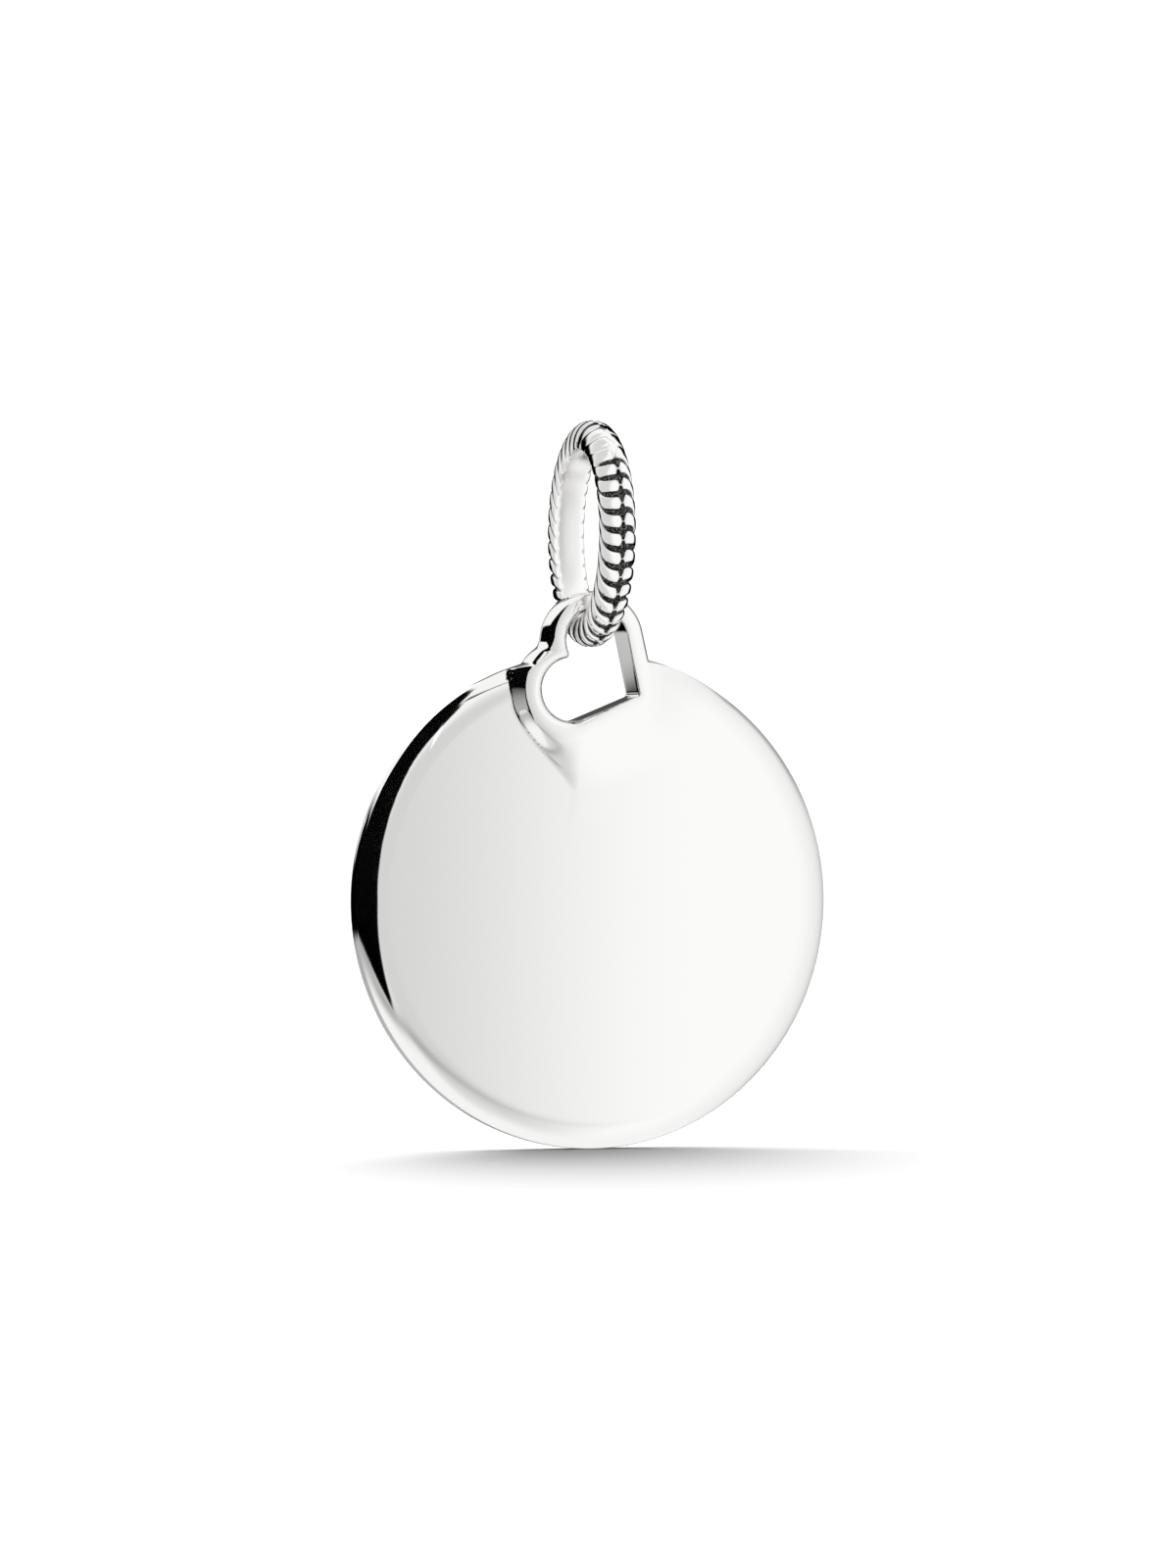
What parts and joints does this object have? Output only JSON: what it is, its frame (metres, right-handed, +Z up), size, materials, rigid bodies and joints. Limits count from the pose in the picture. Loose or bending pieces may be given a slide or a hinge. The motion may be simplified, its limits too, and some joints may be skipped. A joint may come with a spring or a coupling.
{
  "type": "disc pendant",
  "caption": "Plain polished disc pendant with a raised heart-shaped eye, hanging and swinging on an oval bail with a twisted-rope relief.",
  "frame": {"origin": "chain seat: the highest point of the bail's inner face, where a chain carries the pendant", "axes": "+X runs along the chain and across the disc, +Z is up, and the disc's polished face looks along -Y"},
  "size_m": [0.02, 0.008, 0.0294],
  "materials": {
    "polished_silver": "mirror-polished sterling silver",
    "oxidised_silver": "polished sterling silver, blackened in the gaps of the rope relief"
  },
  "bodies": {
    "bail": {"bail": "oxidised_silver"},
    "disc": {"disc": "polished_silver"}
  },
  "joints": [
    {"name": "disc_swing", "type": "hinge", "parent": "bail", "child": "disc", "pos_m": [0, 0, -0.00773], "axis": [0, 1, 0], "range_deg": [-100, 100]}
  ]
}
